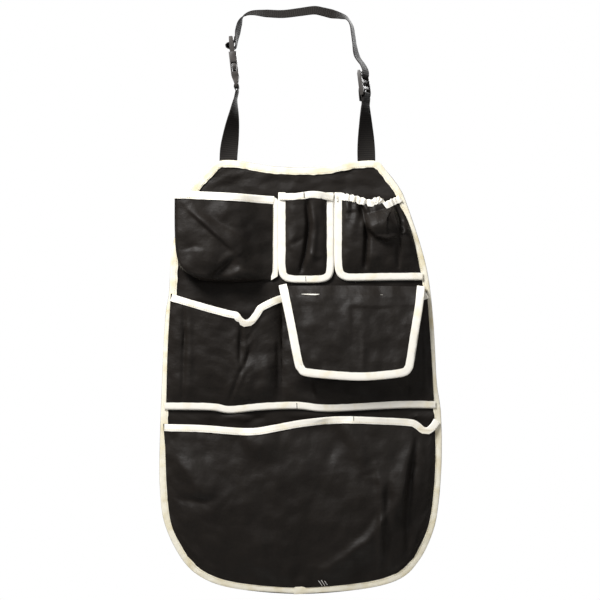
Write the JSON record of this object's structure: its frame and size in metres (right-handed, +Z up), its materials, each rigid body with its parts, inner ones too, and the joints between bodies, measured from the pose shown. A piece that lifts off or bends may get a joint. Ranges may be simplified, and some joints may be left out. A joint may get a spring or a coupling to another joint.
{
  "type": "hanging garden tool bag",
  "caption": "Flat fabric panel with bound patch pockets in three rows, one under a flap, hung by two webbing tabs and a buckled, adjustable strap.",
  "frame": {"origin": "underside of the neck strap at the middle of its top, where the bag hangs", "axes": "+Z up the bag's height, +X to the right seen from the front, pockets face -Y"},
  "size_m": [0.4, 0.0538, 0.8279],
  "materials": {
    "fabric": "black coated woven polyester, fine plain weave, slight sheen",
    "tape": "cream woven binding tape, stitched along both edges",
    "webbing": "black ribbed polypropylene webbing",
    "plastic": "black moulded acetal, fine satin grain",
    "hook_and_loop": "black hook-and-loop patch",
    "elastic": "flat cream elastic"
  },
  "bodies": {
    "neck_strap": {"top_strap": "webbing", "left_tab": "webbing", "right_tab": "webbing", "buckle_socket": "plastic"},
    "panel": {"back_panel": "fabric", "top_left_pocket": "fabric", "top_middle_pocket": "fabric", "top_right_pocket": "fabric", "middle_pocket": "fabric", "bottom_pocket": "fabric", "panel_binding": "tape", "top_left_mouth_binding": "tape", "top_left_side_binding": "tape", "top_middle_frame_binding": "tape", "top_middle_mouth_binding": "tape", "top_right_edge_binding": "tape", "top_right_mouth_binding": "tape", "middle_left_mouth_binding": "tape", "middle_right_mouth_binding": "tape", "middle_base_binding": "tape", "bottom_mouth_binding": "tape", "pocket_loop_patch": "hook_and_loop", "top_right_elastic": "elastic"},
    "flap": {"flap": "fabric", "flap_binding": "tape", "flap_hook_patch": "hook_and_loop"},
    "plug": {"buckle_plug": "plastic"},
    "front_arm": {"prong_front": "plastic"},
    "rear_arm": {"prong_rear": "plastic"},
    "lock": {"ladder_lock": "plastic"}
  },
  "joints": [
    {"name": "panel_swing", "type": "hinge", "parent": "neck_strap", "child": "panel", "pos_m": [0, 0.0025, -0.2], "axis": [1, 0, 0], "range_deg": [-120, 120], "deforming": ["left_tab", "right_tab"]},
    {"name": "flap_lift", "type": "hinge", "parent": "panel", "child": "flap", "pos_m": [0.075, -0.0035, -0.3755], "axis": [-1, 0, 0], "range_deg": [0, 95]},
    {"name": "buckle_release", "type": "slide", "parent": "neck_strap", "child": "plug", "axis": [-0.1132, 0, 0.9936], "range_m": [0, 0.035], "deforming": ["top_strap", "prong_front", "prong_rear"]},
    {"name": "front_arm_squeeze", "type": "hinge", "parent": "plug", "child": "front_arm", "pos_m": [-0.09392, -0.0096, -0.05578], "axis": [0.9936, 0, 0.1132], "range_deg": [0, 7], "stiffness_Nm_per_rad": 0.4},
    {"name": "rear_arm_squeeze", "type": "hinge", "parent": "plug", "child": "rear_arm", "pos_m": [-0.09392, 0.0096, -0.05578], "axis": [-0.9936, 0, -0.1132], "range_deg": [0, 7], "stiffness_Nm_per_rad": 0.4},
    {"name": "lock_tilt", "type": "hinge", "parent": "neck_strap", "child": "lock", "pos_m": [0.09178, 0.00008, -0.10777], "axis": [-0.3584, -0.9336, 0], "range_deg": [0, 30], "deforming": ["right_tab", "top_strap"]}
  ],
  "couplings": [
    {"joint": "rear_arm_squeeze", "follows": "front_arm_squeeze", "ratio": 1}
  ]
}
